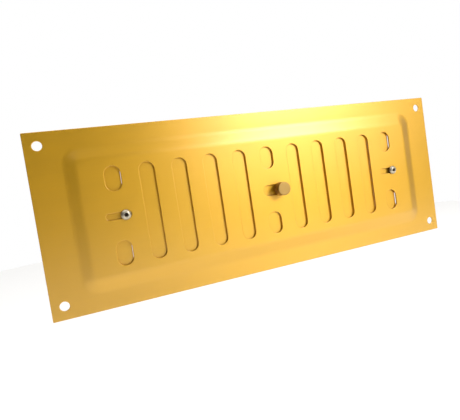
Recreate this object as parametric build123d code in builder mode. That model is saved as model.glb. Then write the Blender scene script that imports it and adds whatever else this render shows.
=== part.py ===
from build123d import *

import os

# Adjustable air vent, of the kind whose slots are opened and shut by a sliding plate.
#
# A pressed aluminium front plate has eleven columns of upright slots in a raised panel.
# A flat shutter with the same slots hangs behind the panel on two rivets that run in
# level guide slots. A knob near the middle of the panel pushes the shutter sideways,
# until its slots lie behind the plate's slots (open) or behind the bars (closed).
#
# Millimetres. X is the width, Z is up, and the front faces -Y. The origin is the middle of
# the four fixing holes, on the wall. A level is a distance in front of the wall, so that
# Plane.XZ.offset(level) lies there, and what is behind the wall face has a level below 0.

# Front plate
plate_width = 242.0
plate_height = 89.0
plate_sheet = 0.9
fixing_spacing_x = 230.0
fixing_spacing_z = 76.0
fixing_hole_radius = 2.25

# Raised panel, pressed forward, with a ramp all round from its foot to its top
panel_rise = 1.2
foot_width = 210.4
foot_height = 70.4
foot_corner = 7.5
top_width = 200.2
top_height = 58.2
top_corner = 3.0
bend_shift = 0.1  # the back of the sheet bends this far inside its front

# Slots: tall ones, and pairs of short ones in the middle column and in the two end columns
pitch = 16.8
last_column = 5
slot_width = 7.7
slot_reach = 24.7  # from the middle of the plate to the end of a slot
short_slot_start = 12.3

# Sliding: from open, with the slots in line, to closed, with bars behind the slots
half_travel = 3.95
rest_slide = 3.3  # from mid-travel towards closed
stop_clearance = 0.05

# Shutter
shutter_gap = 0.4  # behind the panel
shutter_sheet = 0.7
shutter_width = 189.0
shutter_height = 56.0
shutter_slot_width = 6.0
shutter_end_slot_width = 7.0  # in the first and the last column

# Guide rivets, hollow and domed, each set on a washer, with its broken mandrel inside
rivet_reach = 84.0  # from the middle of the shutter to each rivet
shank_radius = 1.6
guide_slot_height = 3.4
guide_slot_length = 12.4
rivet_head_radius = 2.6
rivet_head_height = 1.5
rivet_rim = 0.3
rivet_head_play = 0.2  # under the head, so that the shutter slides
rivet_bore_radius = 0.95
tail_radius = 2.4
tail_foot_radius = 1.9
tail_end_radius = 1.5
tail_length = 2.2
mandrel_radius = 0.9
mandrel_head_radius = 1.4  # a half ball, drawn up against the end of the tail
mandrel_depth = 1.9  # below the top of the rivet's head

# Knob, with the screw and the washer that hold it from behind
knob_neck_radius = 2.8
knob_slot_height = 5.8
knob_neck_above = 0.3  # above the front of the panel
knob_radius = 3.8
knob_height = 5.8  # above the front of the panel
knob_offset = 2.1  # to the right of the middle of the shutter
knob_shoulder = 0.2
knob_edge = 0.4
tapped_radius = 1.55
tapped_length = 4.0
drill_point = 0.9
screw_radius = 1.5
screw_length = 4.5
screw_tip = 0.4
screw_head_radius = 2.8
screw_head_height = 1.9
screw_head_edge = 0.8
recess_width = 0.7
recess_length = 3.2
recess_depth = 1.0

# Washers and the holes through the shutter
washer_sheet = 0.5
washer_radius = 3.5
washer_hole_radius = 1.65
shutter_hole_radius = 1.65

# Levels of the stacked sheets
panel_front = panel_rise + plate_sheet
shutter_front = panel_rise - shutter_gap
shutter_back = shutter_front - shutter_sheet
washer_back = shutter_back - washer_sheet
head_base = panel_front + rivet_head_play
head_top = head_base + rivet_head_height
tail_end = washer_back - tail_length
knob_at_rest = rest_slide + knob_offset
knob_top = panel_front + knob_height
knob_neck_top = panel_front + knob_neck_above


def draw_slots(middle, width, end_width):
    """Adds the pattern of slots to the open sketch, with its middle column at middle."""
    tall = [(middle + side * n * pitch, 0) for side in (-1, 1) for n in range(1, last_column)]
    with Locations(*tall):
        SlotOverall(2 * slot_reach, width, rotation=90)
    height = (slot_reach + short_slot_start) / 2
    for column in (-last_column, 0, last_column):
        x = middle + column * pitch
        with Locations((x, -height), (x, height)):
            SlotOverall(
                slot_reach - short_slot_start, end_width if column else width, rotation=90
            )


def from_axis(x, *points):
    """Points (radius, level) beside an upright axis through x, for a turned profile."""
    return [(x + radius, -level) for radius, level in points]


def turning_axis(x):
    """The axis square to the wall at x, about which a rivet, a knob or a screw is turned."""
    return Axis((x, 0, 0), (0, 1, 0))


with BuildPart() as front_plate:
    with BuildSketch(Plane.XZ):
        Rectangle(plate_width, plate_height)
    extrude(amount=plate_sheet)
    # the panel's front, from the flange's front up to the panel
    with BuildSketch(Plane.XZ.offset(plate_sheet)):
        RectangleRounded(foot_width, foot_height, foot_corner)
    with BuildSketch(Plane.XZ.offset(panel_front)):
        RectangleRounded(top_width, top_height, top_corner)
    loft()
    # the same shape one sheet lower makes the hollow behind the panel
    shrink = 2 * bend_shift
    with BuildSketch(Plane.XZ):
        RectangleRounded(foot_width - shrink, foot_height - shrink, foot_corner - bend_shift)
    with BuildSketch(Plane.XZ.offset(panel_rise)):
        RectangleRounded(top_width - shrink, top_height - shrink, top_corner - bend_shift)
    loft(mode=Mode.SUBTRACT)
    with BuildSketch(Plane.XZ.offset(panel_rise)):
        draw_slots(0, slot_width, slot_width)
        with Locations((-rivet_reach, 0), (rivet_reach, 0)):
            SlotOverall(guide_slot_length, guide_slot_height)
        with Locations((knob_offset, 0)):
            SlotOverall(2 * (knob_neck_radius + half_travel + stop_clearance), knob_slot_height)
    extrude(amount=plate_sheet, mode=Mode.SUBTRACT)
    with BuildSketch(Plane.XZ):
        with GridLocations(fixing_spacing_x, fixing_spacing_z, 2, 2):
            Circle(fixing_hole_radius)
    extrude(amount=plate_sheet, mode=Mode.SUBTRACT)

with BuildPart() as shutter:
    with BuildSketch(Plane.XZ.offset(shutter_back)):
        with Locations((rest_slide, 0)):
            Rectangle(shutter_width, shutter_height)
    extrude(amount=shutter_sheet)
    with BuildSketch(Plane.XZ.offset(shutter_back)):
        draw_slots(rest_slide + half_travel, shutter_slot_width, shutter_end_slot_width)
        with Locations(*[(rest_slide + x, 0) for x in (-rivet_reach, knob_offset, rivet_reach)]):
            Circle(shutter_hole_radius)
    extrude(amount=shutter_sheet, mode=Mode.SUBTRACT)

with BuildPart() as knob:
    with BuildSketch(Plane.XY):
        with BuildLine():
            bottom = Polyline(
                *from_axis(
                    knob_at_rest,
                    (0, shutter_front + tapped_length + drill_point),
                    (tapped_radius, shutter_front + tapped_length),
                    (tapped_radius, shutter_front),
                    (knob_neck_radius, shutter_front),
                    (knob_neck_radius, knob_neck_top),
                    (knob_radius, knob_neck_top + knob_shoulder),
                    (knob_radius, knob_top - knob_edge),
                )
            )
            face_rim, face_middle = from_axis(
                knob_at_rest, (knob_radius - knob_edge, knob_top), (0, knob_top)
            )
            RadiusArc(bottom @ 1, face_rim, knob_edge)
            Polyline(face_rim, face_middle, bottom @ 0)
        make_face()
    revolve(axis=turning_axis(knob_at_rest))

with BuildPart() as knob_screw:
    screw_end = washer_back + screw_length
    screw_back = washer_back - screw_head_height
    with BuildSketch(Plane.XY):
        with BuildLine():
            shank = Polyline(
                *from_axis(
                    knob_at_rest,
                    (0, screw_end),
                    (screw_radius - screw_tip, screw_end),
                    (screw_radius, screw_end - screw_tip),
                    (screw_radius, washer_back),
                    (screw_head_radius, washer_back),
                    (screw_head_radius, screw_back + screw_head_edge),
                )
            )
            pan_rim, pan_middle = from_axis(
                knob_at_rest, (screw_head_radius - screw_head_edge, screw_back), (0, screw_back)
            )
            RadiusArc(shank @ 1, pan_rim, -screw_head_edge)
            Polyline(pan_rim, pan_middle, shank @ 0)
        make_face()
    revolve(axis=turning_axis(knob_at_rest))
    with BuildSketch(Plane.XZ.offset(screw_back)):
        with Locations((knob_at_rest, 0)):
            Rectangle(recess_length, recess_width)
            Rectangle(recess_width, recess_length)
    extrude(amount=recess_depth, mode=Mode.SUBTRACT)

finished = {
    "front_plate": front_plate,
    "shutter": shutter,
    "knob": knob,
    "knob_screw": knob_screw,
}

for name, x in (("left", -rivet_reach), ("knob", knob_offset), ("right", rivet_reach)):
    with BuildPart() as washer:
        with BuildSketch(Plane.XZ.offset(washer_back)):
            with Locations((rest_slide + x, 0)):
                Circle(washer_radius)
                Circle(washer_hole_radius, mode=Mode.SUBTRACT)
        extrude(amount=washer_sheet)
    finished[f"{name}_washer"] = washer

for name, x in (("left", rest_slide - rivet_reach), ("right", rest_slide + rivet_reach)):
    with BuildPart() as rivet:
        with BuildSketch(Plane.XY):
            with BuildLine():
                bore_top, dome, head_rim, tail_foot, tail_bulge, tail_rim = from_axis(
                    x,
                    (rivet_bore_radius, head_top),
                    (rivet_head_radius * 0.78, head_base + rivet_head_height * 0.7),
                    (rivet_head_radius, head_base + rivet_rim),
                    (tail_foot_radius, washer_back),
                    (tail_radius, washer_back - tail_length / 2),
                    (tail_end_radius, tail_end),
                )
                ThreePointArc(bore_top, dome, head_rim)
                Polyline(
                    head_rim,
                    *from_axis(
                        x,
                        (rivet_head_radius, head_base),
                        (shank_radius, head_base),
                        (shank_radius, washer_back),
                    ),
                    tail_foot,
                )
                ThreePointArc(tail_foot, tail_bulge, tail_rim)
                Polyline(tail_rim, *from_axis(x, (rivet_bore_radius, tail_end)), bore_top)
            make_face()
        revolve(axis=turning_axis(x))
    finished[f"{name}_guide_rivet"] = rivet

    with BuildPart() as mandrel:
        with BuildSketch(Plane.XY):
            with BuildLine():
                stub = Polyline(
                    *from_axis(
                        x,
                        (0, head_top - mandrel_depth),
                        (mandrel_radius, head_top - mandrel_depth),
                        (mandrel_radius, tail_end),
                        (mandrel_head_radius, tail_end),
                    )
                )
                crown = from_axis(x, (0, tail_end - mandrel_head_radius))[0]
                RadiusArc(stub @ 1, crown, -mandrel_head_radius)
                Line(crown, stub @ 0)
            make_face()
        revolve(axis=turning_axis(x))
    finished[f"{name}_mandrel"] = mandrel

os.makedirs("parts", exist_ok=True)
for name, piece in finished.items():
    piece.part.label = name
    export_step(piece.part, f"parts/{name}.step")
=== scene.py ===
"""Adjustable sliding air vent in gold anodised aluminium: its finished surfaces and its studio.

Metres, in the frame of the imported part: X is the width, Z is up and the front faces -Y. A level
is a distance in front of the wall, so a point on level 0.002 has y = -0.002.
"""

import math

import bmesh
import bpy
import numpy as np
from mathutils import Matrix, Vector
from mathutils.geometry import tessellate_polygon


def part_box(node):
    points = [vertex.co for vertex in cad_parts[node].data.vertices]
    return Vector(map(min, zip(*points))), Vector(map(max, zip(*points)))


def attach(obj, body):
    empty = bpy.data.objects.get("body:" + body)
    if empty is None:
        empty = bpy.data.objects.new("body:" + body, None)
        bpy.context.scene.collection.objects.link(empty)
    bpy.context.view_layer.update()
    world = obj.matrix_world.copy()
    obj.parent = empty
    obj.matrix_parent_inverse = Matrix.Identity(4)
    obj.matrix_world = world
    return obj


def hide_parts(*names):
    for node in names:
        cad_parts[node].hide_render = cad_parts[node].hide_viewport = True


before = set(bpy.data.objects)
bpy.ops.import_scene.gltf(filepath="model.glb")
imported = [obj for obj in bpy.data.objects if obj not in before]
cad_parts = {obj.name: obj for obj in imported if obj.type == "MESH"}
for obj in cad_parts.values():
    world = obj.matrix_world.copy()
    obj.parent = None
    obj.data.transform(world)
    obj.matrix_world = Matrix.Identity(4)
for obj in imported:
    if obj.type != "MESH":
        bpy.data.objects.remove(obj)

bl_info = {
    "name": "Adjustable Air Vent",
    "version": (1, 0, 0),
    "blender": (4, 5, 0),
    "location": "3D View > Sidebar > Air Vent",
    "description": "Builds the surfaces and finishes of a sliding air vent",
    "category": "Add Mesh",
}

MM = 0.001
ROOT, SLIDER = "plate", "slider"
QUARTER_STEPS = 12  # points on a quarter of a rounded corner
SHARP_DEGREES = 40  # edges turning more than this stay crisp
MERGE_GAP = 1e-7  # metres, below which two points are one
TURNED_STEPS = 64  # points round a turned piece
FLOOR_STEPS = 96  # points round the floor
DRILL_POINT = 0.9 * MM  # cone at the bottom of the knob's hole
SHOULDER_RISE = 0.2 * MM  # from the knob's neck out to its rim
NECK_ROOT = 0.25 * MM  # radius where the knob's neck meets its shoulder
RIVET_LIP = 0.3 * MM  # radius round the mouth of a rivet's bore
RIVET_EDGE = 0.1 * MM  # radius round the foot of a rivet's head
WASHER_EDGE = 0.12 * MM  # radius that tumbling leaves on a washer
LIGHT_DISTANCE = 0.9  # metres from the vent
WAVE_RATE = 0.314  # scale of a ring texture whose rings lie a metre apart


def centre_of(node):
    """Middle of a CAD node's box."""
    low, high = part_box(node)
    return (low + high) / 2


def levels_of(node):
    """Lowest and highest level of a CAD node: how far its back and its front stand off the wall."""
    low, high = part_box(node)
    return -high.y, -low.y


def size_of(node):
    """Width, depth and height of a CAD node's box."""
    low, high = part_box(node)
    return high - low


# ---------------------------------------------------------------- settings


class AIRVENT_PG_sheet(bpy.types.PropertyGroup):
    """Sizes of the pressed plate and of the shutter behind it."""

    sheet: bpy.props.FloatProperty(
        name="Plate sheet",
        description="Thickness of the plate's sheet",
        default=0.9 * MM,
        unit="LENGTH",
    )
    rise: bpy.props.FloatProperty(
        name="Panel rise",
        description="How far the panel is pressed forward",
        default=1.2 * MM,
        unit="LENGTH",
    )
    foot: bpy.props.FloatVectorProperty(
        name="Ramp foot",
        description="Width, height and corner radius of the ramp where it leaves the flange",
        default=(210.4 * MM, 70.4 * MM, 7.5 * MM),
        unit="LENGTH",
    )
    top: bpy.props.FloatVectorProperty(
        name="Ramp top",
        description="Width, height and corner radius of the ramp where it meets the panel",
        default=(200.2 * MM, 58.2 * MM, 3.0 * MM),
        unit="LENGTH",
    )
    bend: bpy.props.FloatProperty(
        name="Bend softness",
        description="How far each bend is eased into the ramp, as a share of the ramp's width",
        default=0.24,
        min=0.02,
        max=0.45,
    )
    pitch: bpy.props.FloatProperty(
        name="Slot pitch",
        description="From one column of slots to the next",
        default=16.8 * MM,
        unit="LENGTH",
    )
    slot_width: bpy.props.FloatProperty(
        name="Slot width", description="Width of the plate's slots", default=7.7 * MM, unit="LENGTH"
    )
    shutter_slot_width: bpy.props.FloatProperty(
        name="Shutter slot width",
        description="Width of the shutter's slots",
        default=6.0 * MM,
        unit="LENGTH",
    )
    shutter_end_width: bpy.props.FloatProperty(
        name="Shutter end slot width",
        description="Width of the shutter's slots in its first and last columns",
        default=7.0 * MM,
        unit="LENGTH",
    )
    slot_reach: bpy.props.FloatProperty(
        name="Slot reach",
        description="From the middle of the plate up to the end of a slot",
        default=24.7 * MM,
        unit="LENGTH",
    )
    short_start: bpy.props.FloatProperty(
        name="Short slot start",
        description="From the middle of the plate up to where a short slot starts",
        default=12.3 * MM,
        unit="LENGTH",
    )
    last_column: bpy.props.IntProperty(
        name="Columns each side",
        description="Columns of slots on each side of the middle one",
        default=5,
    )
    guide_slot: bpy.props.FloatVectorProperty(
        name="Guide slot",
        description="Length and height",
        size=2,
        default=(12.4 * MM, 3.4 * MM),
        unit="LENGTH",
    )
    knob_slot: bpy.props.FloatVectorProperty(
        name="Knob slot",
        description="Length and height",
        size=2,
        default=(13.6 * MM, 5.8 * MM),
        unit="LENGTH",
    )
    rivet_reach: bpy.props.FloatProperty(
        name="Rivet reach",
        description="From the middle of the shutter to each rivet",
        default=84.0 * MM,
        unit="LENGTH",
    )
    knob_offset: bpy.props.FloatProperty(
        name="Knob offset",
        description="From the middle of the shutter to the knob",
        default=2.1 * MM,
        unit="LENGTH",
    )
    slot_offset: bpy.props.FloatProperty(
        name="Shutter offset",
        description="From the middle of the shutter to its middle column of slots",
        default=3.95 * MM,
        unit="LENGTH",
    )
    rivet_hole: bpy.props.FloatProperty(
        name="Shutter hole",
        description="Diameter of the shutter's round holes",
        default=3.3 * MM,
        unit="LENGTH",
    )
    fixing_pattern: bpy.props.FloatVectorProperty(
        name="Fixing holes",
        description="Spacing across and up, and the diameter",
        default=(230.0 * MM, 76.0 * MM, 4.5 * MM),
        unit="LENGTH",
    )
    roll_over: bpy.props.FloatProperty(
        name="Roll-over",
        description="Radius that the punch leaves on the front edge",
        default=0.2 * MM,
        unit="LENGTH",
    )
    burr_side: bpy.props.FloatProperty(
        name="Back edge", description="Radius of the back edge", default=0.05 * MM, unit="LENGTH"
    )
    plate_corner: bpy.props.FloatProperty(
        name="Plate corner",
        description="Radius of the plate's cropped corners",
        default=0.5 * MM,
        unit="LENGTH",
    )


class AIRVENT_PG_fittings(bpy.types.PropertyGroup):
    """Sizes of the rivets and the knob that their CAD boxes don't give."""

    bore: bpy.props.FloatProperty(
        name="Rivet bore",
        description="Diameter of the hole through a rivet",
        default=1.9 * MM,
        unit="LENGTH",
    )
    shank: bpy.props.FloatProperty(
        name="Rivet shank",
        description="Diameter of a rivet's shank",
        default=3.2 * MM,
        unit="LENGTH",
    )
    head_height: bpy.props.FloatProperty(
        name="Rivet head",
        description="Height of a rivet's domed head",
        default=1.5 * MM,
        unit="LENGTH",
    )
    rim: bpy.props.FloatProperty(
        name="Rivet rim",
        description="Height of the straight rim below the dome",
        default=0.3 * MM,
        unit="LENGTH",
    )
    tail: bpy.props.FloatVectorProperty(
        name="Rivet tail",
        description="Diameters of the set tail at its foot, its bulge and its end",
        default=(3.8 * MM, 4.8 * MM, 3.0 * MM),
        unit="LENGTH",
    )
    neck: bpy.props.FloatProperty(
        name="Knob neck", description="Diameter of the knob's neck", default=5.6 * MM, unit="LENGTH"
    )
    neck_length: bpy.props.FloatProperty(
        name="Neck length",
        description="From the shutter to the knob's shoulder",
        default=1.6 * MM,
        unit="LENGTH",
    )
    knob_edge: bpy.props.FloatProperty(
        name="Knob edge",
        description="Radius round the knob's face",
        default=0.4 * MM,
        unit="LENGTH",
    )
    tapped: bpy.props.FloatVectorProperty(
        name="Tapped hole",
        description="Diameter and depth",
        size=2,
        default=(3.1 * MM, 4.0 * MM),
        unit="LENGTH",
    )
    washer_hole: bpy.props.FloatProperty(
        name="Washer hole",
        description="Diameter of the hole in a washer",
        default=3.3 * MM,
        unit="LENGTH",
    )


class AIRVENT_PG_finish(bpy.types.PropertyGroup):
    """Colours, as sRGB hex values."""

    gold: bpy.props.StringProperty(
        name="Gold",
        description="Gold anodised aluminium",
        default="CE9D1A",
    )
    brass: bpy.props.StringProperty(name="Brass", description="Dull turned brass", default="A4844C")
    aluminium: bpy.props.StringProperty(
        name="Aluminium",
        description="Bare aluminium",
        default="B0A793",
    )
    zinc: bpy.props.StringProperty(name="Zinc", description="Zinc plated steel", default="C9CBCB")
    # the mandrel colour is real dull steel darkened far below bare steel, a painted shade for the
    # rivet's bore
    steel: bpy.props.StringProperty(
        name="Steel",
        description="Broken steel mandrel",
        default="4A3F38",
    )
    floor: bpy.props.StringProperty(name="Floor", description="Pale studio floor", default="FBFAF8")
    grain: bpy.props.FloatProperty(
        name="Grain spacing",
        description="From one rolling line to the next",
        default=0.5 * MM,
        unit="LENGTH",
    )


class AIRVENT_PG_stage(bpy.types.PropertyGroup):
    """The camera, the lights and the floor."""

    camera_place: bpy.props.FloatVectorProperty(
        name="Camera place",
        description="Where the camera stands",
        default=(-97.3 * MM, -198.5 * MM, 10.0 * MM),
        unit="LENGTH",
    )
    camera_turn: bpy.props.FloatVectorProperty(
        name="Camera turn",
        description="The camera's XYZ rotation",
        default=(math.radians(87.08), math.radians(8.55), math.radians(-20.55)),
        subtype="EULER",
        unit="ROTATION",
    )
    lens: bpy.props.FloatProperty(
        name="Lens",
        description="Focal length in millimetres",
        default=30.19,
    )
    shift: bpy.props.FloatProperty(
        name="Shift",
        description="Upward shift of the lens",
        default=-0.0257,
    )
    floor_drop: bpy.props.FloatProperty(
        name="Floor drop",
        description="From the vent down to the floor",
        default=0.12,
        unit="LENGTH",
    )
    floor_reach: bpy.props.FloatProperty(
        name="Floor reach", description="Radius of the round floor", default=1.2, unit="LENGTH"
    )
    key_watts: bpy.props.FloatProperty(
        name="Key", description="Power of the wide key softbox in watts", default=2.0
    )
    core_watts: bpy.props.FloatProperty(
        name="Key core", description="Power of the bright core of the key in watts", default=3.3
    )
    overhead_watts: bpy.props.FloatProperty(
        name="Overhead", description="Power of the overhead softbox in watts", default=2.6
    )
    fill_watts: bpy.props.FloatProperty(
        name="Fill", description="Power of the fill softbox in watts", default=0.9
    )
    side_watts: bpy.props.FloatProperty(
        name="Side", description="Power of the side softbox in watts", default=0.75
    )


class AIRVENT_PG_settings(bpy.types.PropertyGroup):
    """All the settings of the vent."""

    sheet: bpy.props.PointerProperty(
        name="Sheet",
        description="Plate and shutter",
        type=AIRVENT_PG_sheet,
    )
    fittings: bpy.props.PointerProperty(
        name="Fittings",
        description="Rivets and knob",
        type=AIRVENT_PG_fittings,
    )
    finish: bpy.props.PointerProperty(name="Finish", description="Colours", type=AIRVENT_PG_finish)
    stage: bpy.props.PointerProperty(name="Stage", description="Studio", type=AIRVENT_PG_stage)


# ---------------------------------------------------------------- surfaces


def rounded_loops(x, z, width, height, corner):
    """Closed outlines of rounded rectangles about (x, z), one for each entry of the sizes.

    A point at angle t of a quarter is that quarter's corner centre, (width / 2 - corner,
    height / 2 - corner) with the quarter's signs, plus corner times (cos t, sin t). A slot is
    a rounded rectangle whose corner is half its width, and a round hole is one of no sides.
    Returns an array of outlines by points by (x, z).
    """
    sizes = (width, height, corner)
    width, height, corner = (np.atleast_1d(np.asarray(v, float))[:, None] for v in sizes)
    turn = np.linspace(0, np.pi / 2, QUARTER_STEPS + 1)
    quarter = np.repeat(np.arange(4), turn.size)
    angle = np.tile(turn, 4) + quarter * np.pi / 2
    side_x = np.where((quarter == 0) | (quarter == 3), 1.0, -1.0)
    side_z = np.where(quarter < 2, 1.0, -1.0)
    loops = np.stack(
        [
            x + side_x * (width / 2 - corner) + corner * np.cos(angle),
            z + side_z * (height / 2 - corner) + corner * np.sin(angle),
        ],
        axis=-1,
    )
    apart = np.linalg.norm(loops[0] - np.roll(loops[0], 1, axis=0), axis=1) > MERGE_GAP
    return loops[:, apart]


def at_levels(loops, levels):
    """Lifts each outline to its level, as points (x, -level, z)."""
    depth = np.broadcast_to(-np.asarray(levels, float)[:, None], loops.shape[:2])
    return np.stack([loops[..., 0], depth, loops[..., 1]], axis=-1)


def cut_profile(front, back, front_round, back_round):
    """Section of a punched edge, as distances into the metal and levels, from front to back.

    The front is a quarter circle of front_round, the cut face is straight, and the back is a
    quarter circle of back_round. A flat margin at each end keeps the shading of the faces true.
    """
    turn = np.linspace(0, np.pi / 2, 5)
    into = np.concatenate(
        [
            [2 * front_round],
            front_round * (1 - np.sin(turn)),
            back_round * (1 - np.cos(turn)),
            [front_round],
        ]
    )
    level = np.concatenate(
        [
            [front],
            front - front_round * (1 - np.cos(turn)),
            back + back_round * (1 - np.sin(turn)),
            [back],
        ]
    )
    return into, level


def eased_ramp(s, ease):
    """0 before s = 0 and 1 after s = 1, straight between, each bend eased over 2 * ease.

    It is the mean of the clamped line over a window of that width, from the line's integral:
    0, then s squared / 2, then s - 1 / 2.
    """

    def integral(u):
        return np.where(u < 0, 0.0, np.where(u < 1, u * u / 2, u - 0.5))

    return (integral(s + ease) - integral(s - ease)) / (2 * ease)


class Surface:
    """Collects bands of rings and flat fills, and makes one closed mesh of them."""

    def __init__(self):
        self.points = []
        self.faces = []
        self.count = 0

    def _add(self, points):
        start = self.count
        self.points.append(points.reshape(-1, 3))
        self.count += self.points[-1].shape[0]
        return start

    def band(self, rings):
        """Quads between neighbouring closed rings, an array of rings by points by xyz."""
        rows, columns = rings.shape[:2]
        index = self._add(rings) + np.arange(rows * columns).reshape(rows, columns)
        after = np.roll(index, -1, axis=1)
        quads = np.stack([index[:-1], after[:-1], after[1:], index[1:]], axis=-1)
        self.faces += quads.reshape(-1, 4).tolist()

    def fill(self, outer, holes):
        """Triangles of the flat face inside outer and outside the holes."""
        loops = [outer, *holes]
        start = self._add(np.concatenate(loops))
        triangles = tessellate_polygon([[Vector(p) for p in loop] for loop in loops])
        self.faces += (np.array(triangles) + start).tolist()

    def make(self, name):
        """A mesh object with the seams merged and the normals pointing out."""
        mesh = bpy.data.meshes.new(name)
        mesh.from_pydata(np.concatenate(self.points).tolist(), [], self.faces)
        work = bmesh.new()
        work.from_mesh(mesh)
        bmesh.ops.remove_doubles(work, verts=work.verts, dist=MERGE_GAP)
        bmesh.ops.dissolve_degenerate(work, edges=work.edges, dist=MERGE_GAP)
        bmesh.ops.recalc_face_normals(work, faces=work.faces)
        work.to_mesh(mesh)
        work.free()
        mesh.polygons.foreach_set("use_smooth", np.ones(len(mesh.polygons), bool))
        mesh.set_sharp_from_angle(angle=math.radians(SHARP_DEGREES))
        piece = bpy.data.objects.new(name, mesh)
        bpy.context.scene.collection.objects.link(piece)
        return piece


def hole_bands(surface, holes, profile):
    """Adds each hole's punched edge, and returns the holes' outlines on the front and the back."""
    into, level = profile
    fronts, backs = [], []
    for x, z, width, height in holes:
        corner = min(width, height) / 2 + into
        loops = rounded_loops(x, z, width + 2 * into, height + 2 * into, corner)
        rings = at_levels(loops, level)
        surface.band(rings)
        fronts.append(rings[0])
        backs.append(rings[-1])
    return fronts, backs


def vent_slots(sheet, middle, width, end_width):
    """Every slot of the pattern as (x, z, width, height), its middle column at middle."""
    last = sheet.last_column
    columns = np.arange(-last, last + 1)
    height = (sheet.slot_reach + sheet.short_start) / 2
    slots = []
    for n in columns:
        x = middle + n * sheet.pitch
        if n in (-last, 0, last):
            wide, tall = end_width if n else width, sheet.slot_reach - sheet.short_start
            slots += [(x, side * height, wide, tall) for side in (-1, 1)]
        else:
            slots.append((x, 0.0, width, 2 * sheet.slot_reach))
    return slots


def turned(name, x, outline):
    """A solid turned about the line square to the wall at x, from its outline.

    A point (radius, level) of the outline at angle t round the axis is
    (x + radius cos t, -level, radius sin t). Points on the axis merge into one pole.
    """
    surface = Surface()
    outline = np.asarray(outline, float)
    angle = np.arange(TURNED_STEPS) * 2 * np.pi / TURNED_STEPS
    rings = np.stack(
        [
            x + outline[:, :1] * np.cos(angle),
            -outline[:, 1:] + 0 * angle,
            outline[:, :1] * np.sin(angle),
        ],
        axis=-1,
    )
    surface.band(rings)
    return surface.make(name)


def arc(centre, radii, start, end, steps):
    """Points of an ellipse's arc, centre + radii * (cos t, sin t), t from start to end degrees."""
    turn = np.radians(np.linspace(start, end, steps + 1))
    return [(centre[0] + radii[0] * np.cos(t), centre[1] + radii[1] * np.sin(t)) for t in turn]


# ---------------------------------------------------------------- materials


def colour(text):
    """Linear RGBA of an sRGB hex value."""
    srgb = np.array([int(text[i : i + 2], 16) for i in (0, 2, 4)]) / 255
    linear = np.where(srgb <= 0.04045, srgb / 12.92, ((srgb + 0.055) / 1.055) ** 2.4)
    return (*linear.tolist(), 1.0)


def add(tree, kind, settings=None, values=None, links=None):
    """Adds a node: settings are its properties, values its inputs, links input to output socket."""
    node = tree.nodes.new(kind)
    for name, value in (settings or {}).items():
        setattr(node, name, value)
    for name, value in (values or {}).items():
        node.inputs[name].default_value = value
    for name, socket in (links or {}).items():
        tree.links.new(socket, node.inputs[name])
    return node


def new_material(name, values):
    """A material with one Principled shader, and its node tree and shader."""
    material = bpy.data.materials.new(name)
    material.use_nodes = True
    tree = material.node_tree
    shader = tree.nodes["Principled BSDF"]
    for key, value in values.items():
        shader.inputs[key].default_value = value
    return material, tree, shader


def gold_anodised_aluminium(finish):
    """Rolled aluminium sheet, satin etched and anodised gold: a metal with fine level rolling
    lines, which draw its gloss out upwards, under a clear oxide skin that adds a pale sheen."""
    material, tree, shader = new_material(
        "gold_anodised_aluminium",
        {
            "Metallic": 1.0,
            "Anisotropic": 0.45,
            "Coat Weight": 0.75,
            "Coat Roughness": 0.28,
            "Coat IOR": 1.77,
        },
    )
    place = add(tree, "ShaderNodeTexCoord").outputs["Object"]
    # the rolling lines run along X for about 60 spacings, and are drawn wide enough to show
    lines = add(
        tree,
        "ShaderNodeMapping",
        values={"Scale": (1 / (60 * finish.grain), 1 / finish.grain, 1 / finish.grain)},
        links={"Vector": place},
    ).outputs["Vector"]
    grain = add(
        tree, "ShaderNodeTexNoise", values={"Scale": 1.0, "Detail": 3.0}, links={"Vector": lines}
    ).outputs["Fac"]
    # the etch is not quite even over the sheet, in patches about 30 mm across
    patches = add(
        tree, "ShaderNodeTexNoise", values={"Scale": 33.0, "Detail": 2.0}, links={"Vector": place}
    ).outputs["Fac"]
    gold = colour(finish.gold)[:3]
    base = add(
        tree,
        "ShaderNodeMix",
        {"data_type": "RGBA"},
        {"A": (*(0.96 * c for c in gold), 1.0), "B": (*(1.04 * c for c in gold), 1.0)},
        {"Factor": grain},
    )
    tree.links.new(base.outputs["Result"], shader.inputs["Base Color"])
    both = add(tree, "ShaderNodeMath", links={0: grain, 1: patches}).outputs["Value"]
    rough = add(
        tree,
        "ShaderNodeMapRange",
        values={"From Min": 0.7, "From Max": 1.3, "To Min": 0.46, "To Max": 0.52},
        links={"Value": both},
    ).outputs["Result"]
    tree.links.new(rough, shader.inputs["Roughness"])
    bump = add(
        tree,
        "ShaderNodeBump",
        values={"Strength": 0.06, "Distance": 0.02 * MM},
        links={"Height": grain},
    ).outputs["Normal"]
    tree.links.new(bump, shader.inputs["Normal"])
    upwards = add(tree, "ShaderNodeCombineXYZ", values={"Z": 1.0}).outputs["Vector"]
    tree.links.new(upwards, shader.inputs["Tangent"])
    return material


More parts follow.
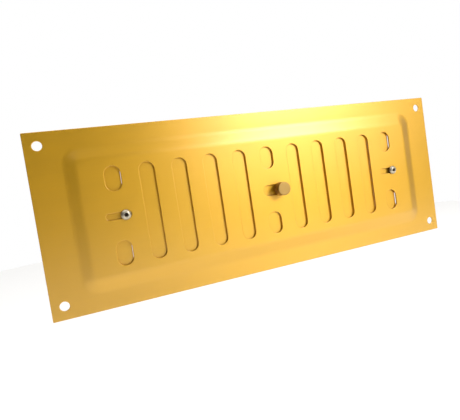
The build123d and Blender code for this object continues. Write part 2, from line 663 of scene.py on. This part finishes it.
def turned_metal(name, base, roughness, ring_spacing, x):
    """Metal turned on a lathe: fine rings about the axis at x, left by the tool."""
    material, tree, shader = new_material(name, {"Metallic": 1.0, "Base Color": colour(base)})
    place = add(tree, "ShaderNodeTexCoord").outputs["Object"]
    centred = add(
        tree, "ShaderNodeMapping", values={"Location": (-x, 0, 0)}, links={"Vector": place}
    ).outputs["Vector"]
    rings = add(
        tree,
        "ShaderNodeTexWave",
        {"wave_type": "RINGS", "rings_direction": "Y"},
        {"Scale": WAVE_RATE / ring_spacing, "Distortion": 0.4, "Detail": 1.0},
        {"Vector": centred},
    ).outputs["Fac"]
    scuffs = add(
        tree, "ShaderNodeTexNoise", values={"Scale": 900.0, "Detail": 3.0}, links={"Vector": place}
    ).outputs["Fac"]
    rough = add(
        tree,
        "ShaderNodeMapRange",
        values={"To Min": roughness - 0.06, "To Max": roughness + 0.08},
        links={"Value": scuffs},
    ).outputs["Result"]
    tree.links.new(rough, shader.inputs["Roughness"])
    bump = add(
        tree,
        "ShaderNodeBump",
        values={"Strength": 0.25, "Distance": 0.01 * MM},
        links={"Height": rings},
    ).outputs["Normal"]
    tree.links.new(bump, shader.inputs["Normal"])
    return material


def plain_metal(name, base, roughness, fleck):
    """Barrel-finished or plated metal: an even gloss with small dull flecks of the given size."""
    material, tree, shader = new_material(name, {"Metallic": 1.0, "Base Color": colour(base)})
    place = add(tree, "ShaderNodeTexCoord").outputs["Object"]
    flecks = add(
        tree,
        "ShaderNodeTexNoise",
        values={"Scale": 1 / fleck, "Detail": 3.0},
        links={"Vector": place},
    ).outputs["Fac"]
    rough = add(
        tree,
        "ShaderNodeMapRange",
        values={"To Min": roughness - 0.08, "To Max": roughness + 0.12},
        links={"Value": flecks},
    ).outputs["Result"]
    tree.links.new(rough, shader.inputs["Roughness"])
    bump = add(
        tree,
        "ShaderNodeBump",
        values={"Strength": 0.1, "Distance": 0.01 * MM},
        links={"Height": flecks},
    ).outputs["Normal"]
    tree.links.new(bump, shader.inputs["Normal"])
    return material


def finished(piece, material, body, slot, *nodes):
    """Gives a piece its material and body, and hides the CAD nodes that it stands for. The slot is
    not used.
    """
    piece.data.materials.clear()
    piece.data.materials.append(material)
    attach(piece, body)
    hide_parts(*nodes)


# ---------------------------------------------------------------- operators


class AIRVENT_OT_press_plate(bpy.types.Operator):
    """Press the front plate: flange, ramp, raised panel and every punched hole"""

    bl_idname = "airvent.press_plate"
    bl_label = "Press Plate"

    def execute(self, context):
        sheet = context.scene.airvent.sheet
        width, _, height = size_of("front_plate")
        flange, panel = sheet.sheet, sheet.rise + sheet.sheet
        surface = Surface()

        into, level = cut_profile(flange, 0.0, sheet.roll_over, sheet.burr_side)
        corner = sheet.plate_corner - into
        rim = at_levels(rounded_loops(0, 0, width - 2 * into, height - 2 * into, corner), level)
        surface.band(rim)

        s = np.concatenate([[-1.3 * sheet.bend], np.linspace(-sheet.bend, 1 + sheet.bend, 33)])
        s = np.append(s, 1 + 1.3 * sheet.bend)
        outline = [a + (b - a) * s for a, b in zip(sheet.foot, sheet.top)]
        loops = rounded_loops(0, 0, *outline)
        lift = sheet.rise * eased_ramp(s, sheet.bend)
        front_ramp = at_levels(loops, lift + sheet.sheet)
        back_ramp = at_levels(loops, lift)
        surface.band(front_ramp)
        surface.band(back_ramp)

        across, up, diameter = sheet.fixing_pattern
        corners = [
            (i * across / 2, j * up / 2, diameter, diameter) for i in (-1, 1) for j in (-1, 1)
        ]
        fronts, backs = hole_bands(surface, corners, (into, level))
        surface.fill(rim[0], [front_ramp[0], *fronts])
        surface.fill(rim[-1], [back_ramp[0], *backs])

        holes = vent_slots(sheet, 0.0, sheet.slot_width, sheet.slot_width)
        holes += [(side * sheet.rivet_reach, 0.0, *sheet.guide_slot) for side in (-1, 1)]
        holes.append((sheet.knob_offset, 0.0, *sheet.knob_slot))
        profile = cut_profile(panel, sheet.rise, sheet.roll_over, sheet.burr_side)
        fronts, backs = hole_bands(surface, holes, profile)
        surface.fill(front_ramp[-1], fronts)
        surface.fill(back_ramp[-1], backs)

        gold = gold_anodised_aluminium(context.scene.airvent.finish)
        finished(surface.make("pressed_plate"), gold, ROOT, "gold_aluminium", "front_plate")
        return {"FINISHED"}


class AIRVENT_OT_cut_shutter(bpy.types.Operator):
    """Cut the flat shutter with its slots and its three round holes"""

    bl_idname = "airvent.cut_shutter"
    bl_label = "Cut Shutter"

    def execute(self, context):
        sheet = context.scene.airvent.sheet
        middle = centre_of("shutter").x
        width, _, height = size_of("shutter")
        back, front = levels_of("shutter")
        surface = Surface()
        into, level = cut_profile(front, back, sheet.roll_over / 2, sheet.burr_side)
        corner = sheet.plate_corner - into
        loops = rounded_loops(middle, 0, width - 2 * into, height - 2 * into, corner)
        rim = at_levels(loops, level)
        surface.band(rim)
        column = middle + sheet.slot_offset
        holes = vent_slots(sheet, column, sheet.shutter_slot_width, sheet.shutter_end_width)
        for x in (-sheet.rivet_reach, sheet.knob_offset, sheet.rivet_reach):
            holes.append((middle + x, 0.0, sheet.rivet_hole, sheet.rivet_hole))
        fronts, backs = hole_bands(surface, holes, (into, level))
        surface.fill(rim[0], fronts)
        surface.fill(rim[-1], backs)
        gold = bpy.data.materials["gold_anodised_aluminium"]
        finished(surface.make("slotted_shutter"), gold, SLIDER, "gold_aluminium", "shutter")
        return {"FINISHED"}


class AIRVENT_OT_set_rivets(bpy.types.Operator):
    """Set the two guide rivets, with their mandrels and washers"""

    bl_idname = "airvent.set_rivets"
    bl_label = "Set Rivets"

    def execute(self, context):
        fit = context.scene.airvent.fittings
        finish = context.scene.airvent.finish
        bare = plain_metal("bare_aluminium", finish.aluminium, 0.36, 0.4 * MM)
        # the mandrel material carries painted shade: its dark steel colour stands for the shade
        # inside the rivet's bore
        steel = plain_metal("steel_with_painted_bore_shade", finish.steel, 0.5, 0.2 * MM)
        zinc = plain_metal("zinc_plated_steel", finish.zinc, 0.34, 0.6 * MM)
        for side in ("left", "right"):
            self.rivet(side, fit, bare)
            self.mandrel(side, fit, steel)
        for side in ("left", "knob", "right"):
            self.washer(side, fit, zinc)
        return {"FINISHED"}

    def rivet(self, side, fit, material):
        """Domed head, shank, set tail and bore, closed into one ring-shaped section."""
        node = f"{side}_guide_rivet"
        tail_end, top = levels_of(node)
        x = centre_of(node).x
        head = size_of(node).x / 2
        base = top - fit.head_height
        bore, shank = fit.bore / 2, fit.shank / 2
        foot, bulge, end = (d / 2 for d in fit.tail)
        washer_back = levels_of(f"{side}_washer")[0]
        lip, edge = RIVET_LIP, RIVET_EDGE
        opening = math.degrees(math.acos((bore + lip) / head))
        crown = fit.head_height - fit.rim
        dome_rise = crown / math.sin(math.radians(opening))
        dome = arc((0, base + fit.rim), (head, dome_rise), 0, opening, 16)
        tail_middle, tail_half = (washer_back + tail_end) / 2, (washer_back - tail_end) / 2
        tail = arc((foot, tail_middle), (bulge - foot, tail_half), 90, -60, 10)
        outline = [
            (bore, top - 2 * lip),
            (bore, top - lip),
            *arc((bore + lip, top - lip), (lip, lip), 180, 90, 4)[1:],
            *dome[::-1][1:],
            (head, base + edge),
            *arc((head - edge, base + edge), (edge, edge), 0, -90, 3)[1:],
            (head - 3 * edge, base),
            (shank, base),
            (shank, washer_back),
            *tail,
            (end, tail_end),
            (bore, tail_end),
            (bore, top - 2 * lip),
        ]
        piece = turned(f"{side}_domed_rivet", x, outline)
        finished(piece, material, SLIDER, "bare_aluminium", node)

    def mandrel(self, side, fit, material):
        """The stub in the bore, its ragged break a shallow cone, and its half-ball head."""
        node = f"{side}_mandrel"
        low, top = levels_of(node)
        x = centre_of(node).x
        ball = size_of(node).x / 2
        stub = fit.bore / 2 - 0.05 * MM
        outline = [
            (0, top - 0.25 * MM),
            (stub * 0.55, top - 0.05 * MM),
            (stub * 0.8, top),
            (stub, top - 0.1 * MM),
            (stub, low + ball),
            (ball - 0.1 * MM, low + ball),
            *arc((0, low + ball), (ball, ball), 0, -90, 12),
        ]
        piece = turned(f"{side}_broken_mandrel", x, outline)
        finished(piece, material, SLIDER, "mandrel_steel", node)

    def washer(self, side, fit, material):
        """A flat ring with its edges rounded by tumbling."""
        node = f"{side}_washer"
        back, front = levels_of(node)
        x = centre_of(node).x
        outer, inner = size_of(node).x / 2, fit.washer_hole / 2
        edge = WASHER_EDGE
        outline = [
            (inner, back + edge),
            (inner, front - edge),
            *arc((inner + edge, front - edge), (edge, edge), 180, 90, 3)[1:],
            (inner + 2 * edge, front),
            (outer - 2 * edge, front),
            *arc((outer - edge, front - edge), (edge, edge), 90, 0, 3),
            *arc((outer - edge, back + edge), (edge, edge), 0, -90, 3),
            (outer - 2 * edge, back),
            (inner + 2 * edge, back),
            *arc((inner + edge, back + edge), (edge, edge), -90, -180, 3),
        ]
        piece = turned(f"{side}_flat_washer", x, outline)
        finished(piece, material, SLIDER, "plated_steel", node)


class AIRVENT_OT_turn_knob(bpy.types.Operator):
    """Turn the knob, and finish the screw that holds it from behind"""

    bl_idname = "airvent.turn_knob"
    bl_label = "Turn Knob"

    def execute(self, context):
        fit = context.scene.airvent.fittings
        finish = context.scene.airvent.finish
        back, top = levels_of("knob")
        x = centre_of("knob").x
        head, neck = size_of("knob").x / 2, fit.neck / 2
        shoulder = back + fit.neck_length
        hole, depth = fit.tapped[0] / 2, fit.tapped[1]
        edge = fit.knob_edge
        rim_base = shoulder + SHOULDER_RISE
        outline = [
            (0, back + depth + DRILL_POINT),
            (hole, back + depth),
            (hole, back + edge),
            (hole + edge / 2, back),
            (neck - edge / 2, back),
            (neck, back + edge / 2),
            (neck, shoulder - NECK_ROOT),
            *arc((neck + NECK_ROOT, shoulder - NECK_ROOT), (NECK_ROOT, NECK_ROOT), 180, 90, 4)[1:],
            *arc((head - edge, rim_base + edge), (edge, edge), -90, 0, 4)[1:],
            (head, rim_base + 0.1 * MM + 2 * edge),
            (head, top - 2 * edge),
            *arc((head - edge, top - edge), (edge, edge), 0, 90, 5),
            (head - 2 * edge, top),
            (head * 0.6, top),
            (head * 0.3, top),
            (0, top),
        ]
        brass = turned_metal("dull_turned_brass", finish.brass, 0.42, 0.25 * MM, x)
        finished(turned("turned_knob", x, outline), brass, SLIDER, "brass", "knob")
        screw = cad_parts["knob_screw"]
        screw.data.materials.clear()
        screw.data.materials.append(bpy.data.materials["zinc_plated_steel"])
        return {"FINISHED"}


class AIRVENT_OT_set_stage(bpy.types.Operator):
    """Lay the pale floor, hang the soft lights and place the camera"""

    bl_idname = "airvent.set_stage"
    bl_label = "Set Stage"

    def execute(self, context):
        settings = context.scene.airvent.stage
        self.floor(settings, context.scene.airvent.finish)
        self.room(context.scene)
        self.softbox("key_softbox", settings.key_watts, 31, 14, (0.56, 0.5))
        self.softbox("key_core", settings.core_watts, 32, 22, (0.3, 0.3))
        self.softbox("overhead_softbox", settings.overhead_watts, 0, 80, (0.9, 0.9))
        self.softbox("fill_softbox", settings.fill_watts, -35, 45, (0.6, 0.6))
        self.softbox("side_softbox", settings.side_watts, 72, 20, (0.5, 0.7))
        camera = bpy.data.cameras.new("camera")
        camera.lens = settings.lens
        camera.sensor_width = 36.0
        camera.shift_y = settings.shift
        camera.clip_start = 0.01
        eye = bpy.data.objects.new("camera", camera)
        eye.location = settings.camera_place
        eye.rotation_euler = settings.camera_turn
        context.scene.collection.objects.link(eye)
        context.scene.camera = eye
        context.scene.view_settings.view_transform = "Standard"
        return {"FINISHED"}

    def floor(self, settings, finish):
        """A pale round sheet far wider than the vent, some way below it."""
        reach = settings.floor_reach
        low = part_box("front_plate")[0].z - settings.floor_drop
        angle = np.arange(FLOOR_STEPS) * 2 * np.pi / FLOOR_STEPS
        ring = np.stack(
            [reach * np.cos(angle), reach * np.sin(angle), np.full(FLOOR_STEPS, low)], axis=-1
        )
        mesh = bpy.data.meshes.new("floor")
        mesh.from_pydata(ring.tolist(), [], [list(range(FLOOR_STEPS))])
        values = {"Base Color": colour(finish.floor), "Roughness": 0.8}
        material = new_material("matt_pale_floor", values)[0]
        mesh.materials.append(material)
        floor = bpy.data.objects.new("floor", mesh)
        bpy.context.scene.collection.objects.link(floor)

    def room(self, scene):
        """A white wall behind the vent, a pale ceiling over it and a dim wall in front of it.

        Each wall's brightness is a smooth step of the direction's part along that wall's axis,
        and the room is the sum of them.
        """
        world = bpy.data.worlds.new("studio_room")
        world.use_nodes = True
        tree = world.node_tree
        direction = add(tree, "ShaderNodeTexCoord").outputs["Generated"]
        total = None
        for axis, start, end, strength in (
            ((0, 1, 0), -0.1, 0.3, 1.0),
            ((0, 0, 1), 0.6, 0.95, 1.1),
            ((0, -1, 0), -0.3, 0.3, 0.03),
        ):
            along = add(
                tree,
                "ShaderNodeVectorMath",
                {"operation": "DOT_PRODUCT"},
                {1: axis},
                {0: direction},
            ).outputs["Value"]
            wall = add(
                tree,
                "ShaderNodeMapRange",
                {"interpolation_type": "SMOOTHSTEP"},
                {"From Min": start, "From Max": end, "To Max": strength},
                {"Value": along},
            ).outputs["Result"]
            if total:
                wall = add(tree, "ShaderNodeMath", links={0: total, 1: wall}).outputs["Value"]
            total = wall
        background = tree.nodes["Background"]
        background.inputs["Color"].default_value = (1, 1, 1, 1)
        tree.links.new(total, background.inputs["Strength"])
        scene.world = world

    def softbox(self, name, watts, right, up, size):
        """A soft rectangular light LIGHT_DISTANCE from the vent, facing its middle.

        It stands right degrees to the right of the front and up degrees above it.
        """
        away, lift = math.radians(right), math.radians(up)
        place = LIGHT_DISTANCE * Vector(
            (math.sin(away) * math.cos(lift), -math.cos(away) * math.cos(lift), math.sin(lift))
        )
        light = bpy.data.lights.new(name, "AREA")
        light.shape = "RECTANGLE"
        light.size, light.size_y = size
        light.energy = watts
        lamp = bpy.data.objects.new(name, light)
        lamp.location = place
        lamp.rotation_euler = (-place).to_track_quat("-Z", "Y").to_euler()
        bpy.context.scene.collection.objects.link(lamp)


class AIRVENT_PT_sidebar(bpy.types.Panel):
    """Lists the steps of building the vent"""

    bl_idname = "AIRVENT_PT_sidebar"
    bl_label = "Air Vent"
    bl_space_type = "VIEW_3D"
    bl_region_type = "UI"
    bl_category = "Air Vent"

    def draw(self, context):
        for step in STEPS:
            self.layout.operator(step.bl_idname)


STEPS = (
    AIRVENT_OT_press_plate,
    AIRVENT_OT_cut_shutter,
    AIRVENT_OT_set_rivets,
    AIRVENT_OT_turn_knob,
    AIRVENT_OT_set_stage,
)
CLASSES = (
    AIRVENT_PG_sheet,
    AIRVENT_PG_fittings,
    AIRVENT_PG_finish,
    AIRVENT_PG_stage,
    AIRVENT_PG_settings,
    *STEPS,
    AIRVENT_PT_sidebar,
)


def register():
    for item in CLASSES:
        bpy.utils.register_class(item)
    bpy.types.Scene.airvent = bpy.props.PointerProperty(type=AIRVENT_PG_settings)


def unregister():
    del bpy.types.Scene.airvent
    for item in reversed(CLASSES):
        bpy.utils.unregister_class(item)


def main():
    """Builds the vent and its studio."""
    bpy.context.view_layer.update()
    register()
    bpy.ops.airvent.press_plate()
    bpy.ops.airvent.cut_shutter()
    bpy.ops.airvent.set_rivets()
    bpy.ops.airvent.turn_knob()
    bpy.ops.airvent.set_stage()


if __name__ == "__main__":
    main()
